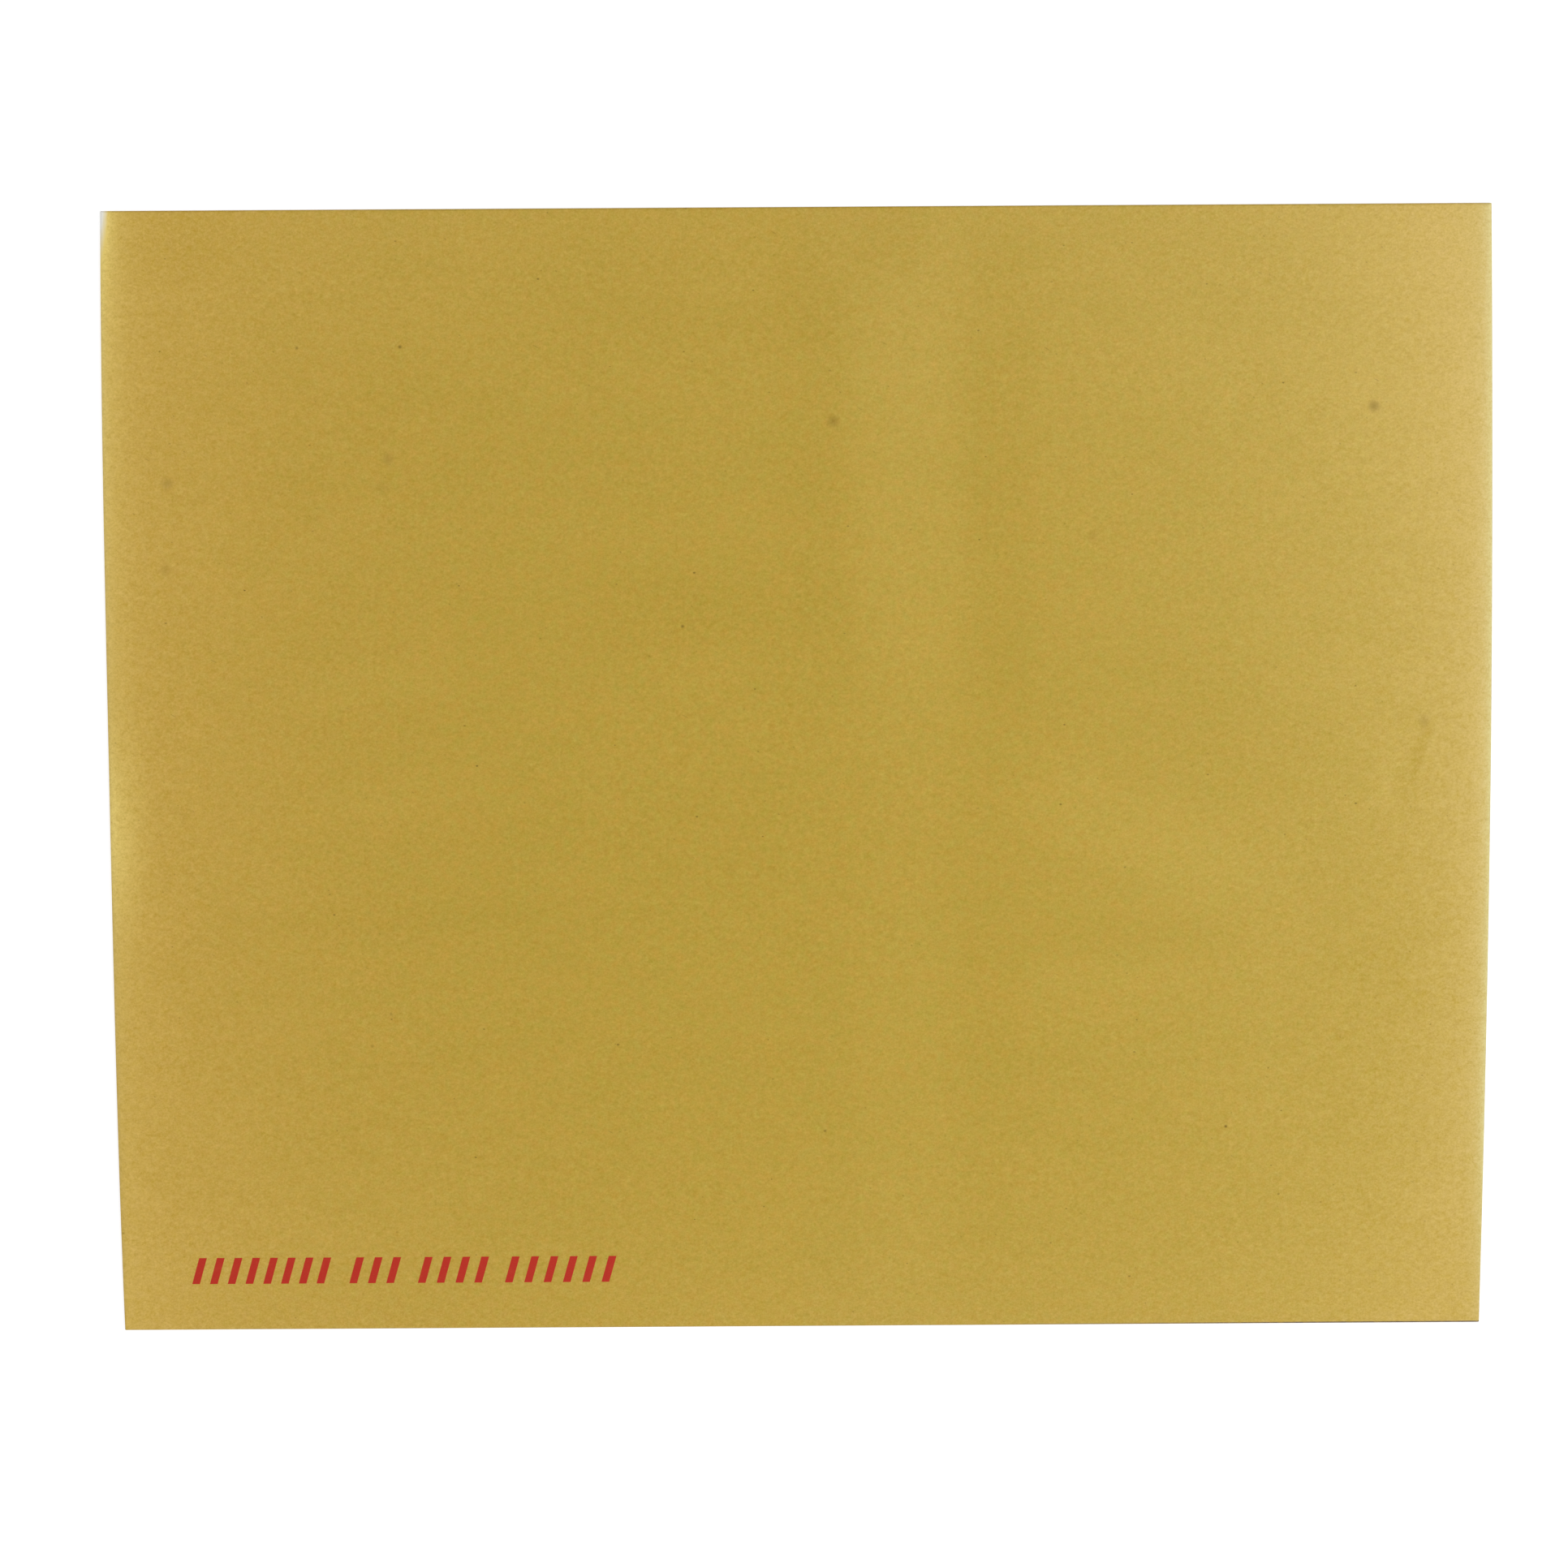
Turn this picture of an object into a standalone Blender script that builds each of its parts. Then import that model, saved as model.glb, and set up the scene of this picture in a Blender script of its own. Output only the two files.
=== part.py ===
# Board-backed envelope, lying on its board with the address side up.
# Units are metres. X runs along the long side, from the closed end at -X to the
# opening at +X. Y runs across the seams, and +Z points away from the board.
# The origin is on the resting surface, under the middle of the outline.

import math

import bmesh
import bpy

# Overall size, measured over the folds
ENVELOPE_LENGTH = 0.444
ENVELOPE_WIDTH = 0.368

# Thickness of each material, and the hairline left between faces that touch
PAPER_THICKNESS = 0.00015
BOARD_THICKNESS = 0.0009
GLUE_THICKNESS = 0.00006
ADHESIVE_THICKNESS = 0.00008
LINER_THICKNESS = 0.00007
LAYER_GAP = 0.00003

# Board: how far its cut edges stay inside the creases
BOARD_EDGE_GAP = 0.0003
THROAT_SETBACK = 0.003
BOARD_CORNER_RADIUS = 0.001

# Front panel: a slack sheet that stands off the board between its tight seams
SLACK_POWER = 2.4
CROWN_RISE = 0.0014
RIDGE_X = 0.017
HOLLOW_X = 0.054
RIPPLE_RISE = 0.0003
RIPPLE_REACH = 0.0125

# Rolled folds at the two short ends, widest at mid height
END_LIFT = 0.0012
CLOSED_END_BOW = 0.0012
OPEN_END_BOW = 0.0018
CLOSED_END_ROLL = 0.006
OPEN_END_ROLL = 0.007
CLOSED_END_POWER = 3.2
OPEN_END_POWER = 1.8

# Flaps behind the board, each measured from its crease to its cut edge
SEAM_FLAP_DEPTH = 0.020
SEAM_FLAP_SLOPE = 1.1
END_FLAP_DEPTH = 0.028
END_FLAP_SLOPE = 1.1
SEAL_FLAP_DEPTH = 0.050
SEAL_FLAP_SLOPE = 0.18
SEAL_CORNER_RADIUS = 0.018

# Glue lines under the glued flaps
GLUE_WIDTH = 0.010
GLUE_END_MARGIN = 0.012

# Self-seal band on the seal flap, and the liner over it
ADHESIVE_WIDTH = 0.015
ADHESIVE_LENGTH = 0.290
ADHESIVE_MARGIN = 0.008
LINER_WIDTH = 0.022
LINER_TAB = 0.010

# How finely the sheet is divided
PANEL_COLUMNS = 36
PANEL_ROWS = 20
SEAM_FOLD_STEPS = 6
END_FOLD_STEPS = 10
FLAP_STEPS = 2
CORNER_STEPS = 6
GRID_TOLERANCE = 1e-6

# Layers from the resting surface up: the seal flap is the outermost one
SEAL_FLAP_Z = PAPER_THICKNESS / 2
ADHESIVE_BOTTOM = PAPER_THICKNESS + LAYER_GAP
LINER_BOTTOM = ADHESIVE_BOTTOM + ADHESIVE_THICKNESS + LAYER_GAP
GLUED_FLAP_BOTTOM = LINER_BOTTOM + LINER_THICKNESS + LAYER_GAP
GLUED_FLAP_Z = GLUED_FLAP_BOTTOM + PAPER_THICKNESS / 2
GLUE_BOTTOM = GLUED_FLAP_BOTTOM + PAPER_THICKNESS + LAYER_GAP
BOARD_BOTTOM = GLUE_BOTTOM + GLUE_THICKNESS + LAYER_GAP
BOARD_TOP = BOARD_BOTTOM + BOARD_THICKNESS
PANEL_Z = BOARD_TOP + LAYER_GAP + PAPER_THICKNESS / 2

# Fold radii at the tight corners, to the middle of the paper
GLUED_FOLD_RADIUS = (PANEL_Z - GLUED_FLAP_Z) / 2
SEAL_FOLD_RADIUS = (PANEL_Z - SEAL_FLAP_Z) / 2

# Crease lines, where the folds run into the flat flaps
SEAM_CREASE_Y = ENVELOPE_WIDTH / 2 - PAPER_THICKNESS / 2 - GLUED_FOLD_RADIUS
CLOSED_CREASE_X = ENVELOPE_LENGTH / 2 - CLOSED_END_BOW - PAPER_THICKNESS / 2 - GLUED_FOLD_RADIUS
OPEN_CREASE_X = ENVELOPE_LENGTH / 2 - OPEN_END_BOW - PAPER_THICKNESS / 2 - SEAL_FOLD_RADIUS
CREASE_MIDDLE_X = (OPEN_CREASE_X - CLOSED_CREASE_X) / 2
CREASE_HALF_LENGTH = (OPEN_CREASE_X + CLOSED_CREASE_X) / 2


def clear_scene():
    for item in list(bpy.data.objects):
        bpy.data.objects.remove(item, do_unlink=True)


def make_collection(name):
    collection = bpy.data.collections.new(name)
    bpy.context.scene.collection.children.link(collection)
    return collection


def make_material(name, colour, roughness):
    material = bpy.data.materials.new(name)
    material.use_nodes = True
    shader = material.node_tree.nodes["Principled BSDF"]
    shader.inputs["Base Color"].default_value = (*colour, 1.0)
    shader.inputs["Roughness"].default_value = roughness
    shader.inputs["Metallic"].default_value = 0.0
    return material


def add_mesh_object(name, bm, material, collection):
    mesh = bpy.data.meshes.new(name)
    bm.to_mesh(mesh)
    bm.free()
    mesh.materials.append(material)
    piece = bpy.data.objects.new(name, mesh)
    collection.objects.link(piece)
    return piece


def slack(share):
    # how freely the panel rises: 0 where a seam holds it down, 1 half way between the seams
    return 1.0 - abs(share) ** SLACK_POWER


def swell(side, share):
    # the same for how far the folds of the two short ends bow and roll
    power = CLOSED_END_POWER if side < 0 else OPEN_END_POWER
    return 1.0 - abs(share) ** power


def panel_edge_x(side, across):
    # where the front panel ends and the rolled fold starts
    if side < 0:
        return (CLOSED_END_ROLL - CLOSED_END_BOW) * swell(side, across) - CLOSED_CREASE_X
    return OPEN_CREASE_X - (OPEN_END_ROLL - OPEN_END_BOW) * swell(side, across)


def ripple(x):
    # one soft ridge and the hollow beside it, both running from seam to seam
    ridge = math.exp(-(((x - RIDGE_X) / RIPPLE_REACH) ** 2) / 2)
    hollow = math.exp(-(((x - HOLLOW_X) / RIPPLE_REACH) ** 2) / 2)
    return RIPPLE_RISE * (ridge - hollow)


def panel_point(along, across):
    # along and across are shares from -1 to 1 over the front panel
    start = panel_edge_x(-1, across)
    end = panel_edge_x(1, across)
    x = start + (end - start) * (along + 1) / 2
    rise = END_LIFT + (CROWN_RISE + ripple(x)) * (1 - along ** 2)
    return x, SEAM_CREASE_Y * across, PANEL_Z + rise * slack(across)


def half_turn_angles(steps):
    # from just past the panel, at the top of a fold, to the crease below it
    return [math.pi * step / steps for step in range(1, steps + 1)]


def seam_fold_rows(side):
    # half circles down from the panel's long edges to the seam flaps
    rows = []
    middle_z = PANEL_Z - GLUED_FOLD_RADIUS
    for angle in half_turn_angles(SEAM_FOLD_STEPS):
        y = SEAM_CREASE_Y + GLUED_FOLD_RADIUS * math.sin(angle)
        z = middle_z + GLUED_FOLD_RADIUS * math.cos(angle)
        rows.append(lambda share, y=y, z=z: (CREASE_MIDDLE_X + CREASE_HALF_LENGTH * share, side * y, z))
    return rows


def end_fold_rows(side):
    # soft rolls down from the panel's short edges: wide above, tight round the crease below
    closed = side < 0
    crease = CLOSED_CREASE_X if closed else OPEN_CREASE_X
    bow = CLOSED_END_BOW if closed else OPEN_END_BOW
    roll = CLOSED_END_ROLL if closed else OPEN_END_ROLL
    radius = GLUED_FOLD_RADIUS if closed else SEAL_FOLD_RADIUS
    middle_z = PANEL_Z - radius

    def point(share, angle):
        upper = angle < math.pi / 2
        reach = crease + radius + bow * swell(side, share)
        width = radius + (roll if upper else bow) * swell(side, share)
        height = radius + (END_LIFT * slack(share) if upper else 0.0)
        x = reach - width * (1 - math.sin(angle))
        return side * x, SEAM_CREASE_Y * share, middle_z + height * math.cos(angle)

    return [lambda share, angle=angle: point(share, angle) for angle in half_turn_angles(END_FOLD_STEPS)]


def seam_flap_rows(side):
    rows = []
    for step in range(1, FLAP_STEPS + 1):
        depth = SEAM_FLAP_DEPTH * step / FLAP_STEPS
        y = SEAM_CREASE_Y - depth
        half = CREASE_HALF_LENGTH - SEAM_FLAP_SLOPE * depth
        rows.append(lambda share, y=y, half=half: (CREASE_MIDDLE_X + half * share, side * y, GLUED_FLAP_Z))
    return rows


def end_flap_rows():
    rows = []
    for step in range(1, FLAP_STEPS + 1):
        depth = END_FLAP_DEPTH * step / FLAP_STEPS
        x = depth - CLOSED_CREASE_X
        half = SEAM_CREASE_Y - END_FLAP_SLOPE * depth
        rows.append(lambda share, x=x, half=half: (x, half * share, GLUED_FLAP_Z))
    return rows


def seal_flap_rows():
    # straight tapered sides, then two rounded corners at the cut edge
    straight = SEAL_FLAP_DEPTH - SEAL_CORNER_RADIUS
    places = [(straight * step / FLAP_STEPS, 0.0) for step in range(1, FLAP_STEPS + 1)]
    for step in range(1, CORNER_STEPS + 1):
        angle = math.pi / 2 * step / CORNER_STEPS
        depth = straight + SEAL_CORNER_RADIUS * math.sin(angle)
        places.append((depth, SEAL_CORNER_RADIUS * (1 - math.cos(angle))))
    rows = []
    for depth, inset in places:
        x = OPEN_CREASE_X - depth
        half = SEAM_CREASE_Y - SEAL_FLAP_SLOPE * depth - inset
        rows.append(lambda share, x=x, half=half: (x, half * share, SEAL_FLAP_Z))
    return rows


def extend_sheet(bm, edges, share_layer, rows):
    # each row is one more strip of paper, grown from the last edge of the sheet
    for row in rows:
        grown = bmesh.ops.extrude_edge_only(bm, edges=edges)["geom"]
        new_verts = {item for item in grown if isinstance(item, bmesh.types.BMVert)}
        for vert in new_verts:
            vert.co = row(vert[share_layer])
        edges = [
            item
            for item in grown
            if isinstance(item, bmesh.types.BMEdge) and set(item.verts) <= new_verts
        ]


def border_edges(bm, axis, side):
    # the grid's border on one side, while its corners are still at -1 and 1
    return [
        edge
        for edge in bm.edges
        if all(abs(vert.co[axis] - side) < GRID_TOLERANCE for vert in edge.verts)
    ]


def make_paper_sheet(collection):
    bm = bmesh.new()
    bmesh.ops.create_grid(bm, x_segments=PANEL_COLUMNS, y_segments=PANEL_ROWS, size=1.0)
    along = bm.verts.layers.float.new("along")
    across = bm.verts.layers.float.new("across")
    for vert in bm.verts:
        vert[along] = vert.co.x
        vert[across] = vert.co.y

    upper_seam = border_edges(bm, 1, 1)
    lower_seam = border_edges(bm, 1, -1)
    closed_end = border_edges(bm, 0, -1)
    open_end = border_edges(bm, 0, 1)

    for vert in bm.verts:
        vert.co = panel_point(vert[along], vert[across])
    extend_sheet(bm, upper_seam, along, seam_fold_rows(1) + seam_flap_rows(1))
    extend_sheet(bm, lower_seam, along, seam_fold_rows(-1) + seam_flap_rows(-1))
    extend_sheet(bm, closed_end, across, end_fold_rows(-1) + end_flap_rows())
    extend_sheet(bm, open_end, across, end_fold_rows(1) + seal_flap_rows())
    bmesh.ops.recalc_face_normals(bm, faces=bm.faces)

    manila = make_material("manila_paper", (0.51, 0.33, 0.06), 0.75)
    sheet = add_mesh_object("paper_sheet", bm, manila, collection)
    wall = sheet.modifiers.new("paper thickness", "SOLIDIFY")
    wall.thickness = PAPER_THICKNESS
    wall.offset = 0.0
    wall.use_even_offset = True
    sheet.data.shade_smooth()
    return sheet


def add_slab(name, centre, size, corner_radius, material, collection):
    # a flat cut piece: centre is its middle in plan and its lower face
    bm = bmesh.new()
    bmesh.ops.create_cube(bm, size=1.0)
    bmesh.ops.scale(bm, vec=size, verts=bm.verts)
    if corner_radius > 0:
        upright = [edge for edge in bm.edges if abs(edge.verts[0].co.z - edge.verts[1].co.z) > size[2] / 2]
        bmesh.ops.bevel(bm, geom=upright, offset=corner_radius, segments=CORNER_STEPS, profile=0.5, affect="EDGES")
    slab = add_mesh_object(name, bm, material, collection)
    slab.location = (centre[0], centre[1], centre[2] + size[2] / 2)
    return slab


def make_back_board(collection):
    chipboard = make_material("chipboard", (0.31, 0.26, 0.20), 0.85)
    start = -CLOSED_CREASE_X + BOARD_EDGE_GAP
    end = OPEN_CREASE_X - THROAT_SETBACK
    width = 2 * (SEAM_CREASE_Y - BOARD_EDGE_GAP)
    centre = ((start + end) / 2, 0.0, BOARD_BOTTOM)
    size = (end - start, width, BOARD_THICKNESS)
    return add_slab("back_board", centre, size, BOARD_CORNER_RADIUS, chipboard, collection)


def make_glue_lines(collection):
    # three bands between the glued flaps and the board, each in the middle of its flap
    gum = make_material("dry_gum", (0.62, 0.56, 0.42), 0.35)
    seam_length = 2 * (CREASE_HALF_LENGTH - SEAM_FLAP_SLOPE * SEAM_FLAP_DEPTH - GLUE_END_MARGIN)
    seam_y = SEAM_CREASE_Y - SEAM_FLAP_DEPTH / 2
    seam_size = (seam_length, GLUE_WIDTH, GLUE_THICKNESS)
    for name, side in (("seam_glue_upper", 1), ("seam_glue_lower", -1)):
        add_slab(name, (CREASE_MIDDLE_X, side * seam_y, GLUE_BOTTOM), seam_size, 0.0, gum, collection)
    end_length = 2 * (SEAM_CREASE_Y - END_FLAP_SLOPE * END_FLAP_DEPTH - GLUE_END_MARGIN)
    end_x = END_FLAP_DEPTH / 2 - CLOSED_CREASE_X
    end_size = (GLUE_WIDTH, end_length, GLUE_THICKNESS)
    add_slab("end_glue", (end_x, 0.0, GLUE_BOTTOM), end_size, 0.0, gum, collection)


def make_seal_strip(collection):
    # the adhesive lies on the inner face of the seal flap, near its cut edge
    melt = make_material("hot_melt", (0.72, 0.66, 0.50), 0.25)
    silicone = make_material("liner_paper", (0.80, 0.80, 0.77), 0.45)
    strip_x = OPEN_CREASE_X - SEAL_FLAP_DEPTH + ADHESIVE_MARGIN + ADHESIVE_WIDTH / 2
    adhesive_size = (ADHESIVE_WIDTH, ADHESIVE_LENGTH, ADHESIVE_THICKNESS)
    add_slab("seal_adhesive", (strip_x, 0.0, ADHESIVE_BOTTOM), adhesive_size, 0.0, melt, collection)
    liner_size = (LINER_WIDTH, ADHESIVE_LENGTH + LINER_TAB, LINER_THICKNESS)
    add_slab("release_liner", (strip_x, LINER_TAB / 2, LINER_BOTTOM), liner_size, 0.0, silicone, collection)


def main():
    clear_scene()
    parts = make_collection("board_backed_envelope")
    make_paper_sheet(parts)
    make_back_board(parts)
    make_glue_lines(parts)
    make_seal_strip(parts)


main()
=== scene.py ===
import math

import bmesh
import bpy
from mathutils import Matrix, Vector


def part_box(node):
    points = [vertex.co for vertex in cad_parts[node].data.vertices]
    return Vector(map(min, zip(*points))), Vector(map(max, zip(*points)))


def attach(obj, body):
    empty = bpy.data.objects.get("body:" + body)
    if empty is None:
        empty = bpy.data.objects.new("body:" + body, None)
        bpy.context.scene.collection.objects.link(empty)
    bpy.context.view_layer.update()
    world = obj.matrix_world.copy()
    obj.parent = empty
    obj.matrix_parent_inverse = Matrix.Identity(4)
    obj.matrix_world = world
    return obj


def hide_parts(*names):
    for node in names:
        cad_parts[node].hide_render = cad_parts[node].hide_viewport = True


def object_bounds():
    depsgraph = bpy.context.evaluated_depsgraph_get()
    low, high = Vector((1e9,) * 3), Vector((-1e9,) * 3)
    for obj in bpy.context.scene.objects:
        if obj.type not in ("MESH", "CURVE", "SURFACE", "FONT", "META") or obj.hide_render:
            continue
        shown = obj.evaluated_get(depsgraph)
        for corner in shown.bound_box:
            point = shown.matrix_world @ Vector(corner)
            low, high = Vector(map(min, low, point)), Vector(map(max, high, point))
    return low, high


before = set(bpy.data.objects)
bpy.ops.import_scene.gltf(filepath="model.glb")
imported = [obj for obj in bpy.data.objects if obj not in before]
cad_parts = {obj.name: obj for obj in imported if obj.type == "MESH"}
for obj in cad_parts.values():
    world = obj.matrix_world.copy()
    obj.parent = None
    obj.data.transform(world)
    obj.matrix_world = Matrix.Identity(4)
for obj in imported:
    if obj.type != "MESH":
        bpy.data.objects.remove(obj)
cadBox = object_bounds()
mm = 0.001
boardLow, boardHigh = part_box("back_board")
sheetLow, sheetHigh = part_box("paper_sheet")


# Node trees
class Wire:
    # one output of a node, so that sums and products can be written as Python

    def __init__(self, web, socket):
        self.web = web
        self.socket = socket

    def math(self, operation, *values, clamp=False):
        settings = {"operation": operation, "use_clamp": clamp}
        inputs = dict(enumerate(values))
        return self.web.make("ShaderNodeMath", settings, inputs).out(0)

    def __add__(self, other):
        return self.math("ADD", self, other)

    def __radd__(self, other):
        return self.math("ADD", other, self)

    def __sub__(self, other):
        return self.math("SUBTRACT", self, other)

    def __rsub__(self, other):
        return self.math("SUBTRACT", other, self)

    def __mul__(self, other):
        return self.math("MULTIPLY", self, other)

    def __rmul__(self, other):
        return self.math("MULTIPLY", other, self)

    def __truediv__(self, other):
        return self.math("DIVIDE", self, other)

    def __lt__(self, other):
        return self.math("LESS_THAN", self, other)

    def __gt__(self, other):
        return self.math("GREATER_THAN", self, other)

    def abs(self):
        return self.math("ABSOLUTE", self)

    def exp(self):
        return self.math("EXPONENT", self)

    def clamped(self):
        return self.math("ADD", self, 0.0, clamp=True)

    def ramp(self, low, high, start=0.0, end=1.0):
        # smooth step from start to end as this value goes from low to high
        settings = {"interpolation_type": "SMOOTHSTEP"}
        inputs = {"Value": self, "From Min": low, "From Max": high, "To Min": start, "To Max": end}
        return self.web.make("ShaderNodeMapRange", settings, inputs).out(0)


class Made:
    # a node that has been added, with its outputs as wires

    def __init__(self, web, node):
        self.web = web
        self.node = node

    def out(self, key=0):
        return Wire(self.web, self.node.outputs[key])


class Web:
    # a node tree that is being built

    def __init__(self, tree):
        self.tree = tree
        tree.nodes.clear()

    def make(self, kind, settings=None, inputs=None):
        node = self.tree.nodes.new(kind)
        for name, value in (settings or {}).items():
            setattr(node, name, value)
        for key, value in (inputs or {}).items():
            if isinstance(value, Wire):
                self.tree.links.new(value.socket, node.inputs[key])
            else:
                node.inputs[key].default_value = value
        return Made(self, node)

    def mix(self, factor, first, second, blend="MIX"):
        settings = {"data_type": "RGBA", "blend_type": blend, "clamp_factor": True}
        return self.make("ShaderNodeMix", settings, {0: factor, 6: first, 7: second}).out(2)

    def vector(self, operation, first, second):
        return self.make("ShaderNodeVectorMath", {"operation": operation}, {0: first, 1: second}).out(0)

    def moved(self, place, shift, turn, stretch):
        if turn:
            place = self.make("ShaderNodeMapping", {}, {0: place, "Rotation": (0.0, 0.0, turn)}).out()
        inputs = {0: place, "Location": (shift,) * 3, "Scale": stretch}
        return self.make("ShaderNodeMapping", {}, inputs).out()

    def noise(self, place, scale, detail=2.0, roughness=0.5, stretch=(1.0, 1.0, 1.0), shift=0.0, turn=0.0):
        vector = self.moved(place, shift, turn, stretch)
        inputs = {"Vector": vector, "Scale": scale, "Detail": detail, "Roughness": roughness}
        return self.make("ShaderNodeTexNoise", {}, inputs).out(0)

    def flecks(self, place, scale, radius, share, stretch=(1.0, 1.0, 1.0), shift=0.0, turn=0.0):
        # sparse soft dots: share of the cells has one, radius is in metres
        inputs = {"Vector": self.moved(place, shift, turn, stretch), "Scale": scale}
        cells = self.make("ShaderNodeTexVoronoi", {"voronoi_dimensions": "2D"}, inputs)
        chosen = self.make("ShaderNodeSeparateColor", {}, {0: cells.out("Color")})
        size = radius * scale * (0.5 + 0.5 * chosen.out(1))
        inside = cells.out("Distance").ramp(size * 0.4, size, 1.0, 0.0)
        return inside * (chosen.out(0) < share) * (0.3 + 0.7 * chosen.out(2))

    def patch(self, place, centre, reach, turn):
        # 1 inside a soft-edged oblong, 0 outside it
        inputs = {0: place, "Location": (*centre, 0.0), "Rotation": (0.0, 0.0, turn), "Scale": (*reach, 1.0)}
        local = self.make("ShaderNodeMapping", {"vector_type": "TEXTURE"}, inputs).out()
        squared = self.vector("MULTIPLY", local, local)
        far = self.make("ShaderNodeVectorMath", {"operation": "DOT_PRODUCT"}, {0: squared, 1: squared})
        return (-1.0 * far.out("Value")).exp()

    def split(self, vector):
        parts = self.make("ShaderNodeSeparateXYZ", {}, {0: vector})
        return parts.out(0), parts.out(1), parts.out(2)


def newMaterial(name):
    material = bpy.data.materials.new(name)
    material.use_nodes = True
    return material, Web(material.node_tree)


def finishMaterial(web, colour, roughness, height, depth, strength=1.0, constants=None):
    # colour and roughness may vary; height drives a bump of the given depth in metres
    bump = web.make("ShaderNodeBump", {}, {"Height": height, "Distance": depth, "Strength": strength})
    inputs = {"Base Color": colour, "Roughness": roughness, "Normal": bump.out()}
    inputs.update(constants or {})
    shader = web.make("ShaderNodeBsdfPrincipled", {}, inputs)
    web.make("ShaderNodeOutputMaterial", {}, {0: shader.out()})


# Manila paper
manilaLook = {
    "olive": (0.389, 0.300, 0.0325, 1.0),
    "ochre": (0.461, 0.271, 0.0305, 1.0),
    # painted light: colours the paper is drawn towards at both ends
    "paintedLightLeft": (0.560, 0.368, 0.073, 1.0),
    "paintedLightRight": (0.532, 0.364, 0.078, 1.0),
    # painted highlights of the end folds
    "shineLeft": (0.760, 0.580, 0.160, 1.0),
    "shineRight": (0.652, 0.560, 0.237, 1.0),
    "fleck": (0.150, 0.085, 0.002, 1.0),
    # painted white glare at the upper left corner
    "glareWhite": (0.800, 0.780, 0.700, 1.0),
    # painted shade along the lower seam
    "seamShade": (0.110, 0.075, 0.055, 1.0),
    "roughness": 0.48,
    "roughnessDrift": 0.10,
    "gloss": 0.25,
    "grainDepth": 0.02 * mm,
    # how far and how strongly the ends and seams are painted lighter
    "endReach": 50 * mm,
    "endLightLeft": 0.80,
    "endLightRight": 1.10,
    "seamLightAlong": 0.3,
    "hueDrift": 0.42,
    "hueMottle": 1.5,
    "hueCloud": 0.35,
    "cloud": 0.06,
    "streaks": 0.04,
    "formation": 0.28,
    "grain": 0.42,
    "fibres": 0.15,
    "tint": 0.5,
    "greenShare": 1.15,
    "blueShare": 3.5,
    "frontHeight": 1.2 * mm,
    "frontBlend": 0.1 * mm,
    # how patchy the painted fold highlights are
    "shinePatches": 1.6,
    # where and how strongly the shade line along the lower seam is painted
    "shadeAmount": 0.92,
    "shadePatches": 1.5,
    "shadeDepth": 0.48 * mm,
    "shadeFade": 0.20 * mm,
    "shadeFrom": 30 * mm,
    "shadeFull": 190 * mm,
    "shadeTurn": 0.2 * mm,
}

# noises of the paper, from clouds to fibres; the fibres lie in two directions
paperNoises = {
    "cloud": {"scale": 60, "detail": 3.0, "roughness": 0.6, "stretch": (0.6, 1.3, 1.0)},
    "streaks": {"scale": 14, "stretch": (0.4, 1.5, 1.0), "shift": 4.4},
    "mottle": {"scale": 400, "detail": 3.0, "roughness": 0.55, "shift": 3.1},
    "tint": {"scale": 400, "detail": 3.0, "roughness": 0.55, "shift": 8.2},
    "formation": {"scale": 520, "detail": 3.0, "roughness": 0.7, "shift": 1.7},
    "grain": {"scale": 1500, "roughness": 0.75},
    "fibres": {"scale": 1100, "roughness": 0.6, "stretch": (0.3, 1.2, 1.0), "shift": 5.3, "turn": 0.3},
    "crossed": {"scale": 1100, "roughness": 0.6, "stretch": (0.3, 1.2, 1.0), "shift": 6.1, "turn": -0.5},
}

# flecks, dust and short hairs all over the paper: how dark they are, how large and many, and how they lie
paperFlecks = [
    {
        "dark": 0.80,
        "dots": {"scale": 53, "radius": 0.50 * mm, "share": 0.28},
        "lie": {"stretch": (0.8, 1.2, 1.0), "shift": 0.37, "turn": 0.0},
    },
    {
        "dark": 0.45,
        "dots": {"scale": 120, "radius": 0.38 * mm, "share": 0.34},
        "lie": {"stretch": (0.8, 1.2, 1.0), "shift": 0.9, "turn": 0.7},
    },
    {
        "dark": 0.40,
        "dots": {"scale": 60, "radius": 0.50 * mm, "share": 0.16},
        "lie": {"stretch": (0.35, 2.4, 1.0), "shift": 2.3, "turn": 0.5},
    },
]

# soft smudges and the larger specks on the front: place, radius and how dark each one is
spots = [
    {"place": (11.3 * mm, 115.5 * mm), "radius": 2.9 * mm, "dark": 0.43},
    {"place": (183.3 * mm, 119.1 * mm), "radius": 2.9 * mm, "dark": 0.50},
    {"place": (-201.3 * mm, 96.4 * mm), "radius": 3.1 * mm, "dark": 0.29},
    {"place": (-130.7 * mm, 103.9 * mm), "radius": 3.0 * mm, "dark": 0.23},
    {"place": (-202.4 * mm, 68.4 * mm), "radius": 2.8 * mm, "dark": 0.21},
    {"place": (93.8 * mm, 77.9 * mm), "radius": 3.0 * mm, "dark": 0.15},
    {"place": (200.3 * mm, 16.6 * mm), "radius": 2.9 * mm, "dark": 0.21},
    {"place": (-132.3 * mm, 94.4 * mm), "radius": 3.2 * mm, "dark": 0.11},
    {"place": (137.3 * mm, -117.2 * mm), "radius": 0.80 * mm, "dark": 1.00},
    {"place": (-126.4 * mm, 140.1 * mm), "radius": 0.95 * mm, "dark": 0.78},
    {"place": (-37.3 * mm, 49.3 * mm), "radius": 0.85 * mm, "dark": 0.85},
    {"place": (7.5 * mm, -117.8 * mm), "radius": 0.75 * mm, "dark": 0.70},
    {"place": (-159.2 * mm, 139.9 * mm), "radius": 0.85 * mm, "dark": 0.60},
    {"place": (-132.5 * mm, -78.0 * mm), "radius": 0.80 * mm, "dark": 0.45},
    {"place": (-138.7 * mm, -88.6 * mm), "radius": 0.80 * mm, "dark": 0.42},
]
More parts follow.
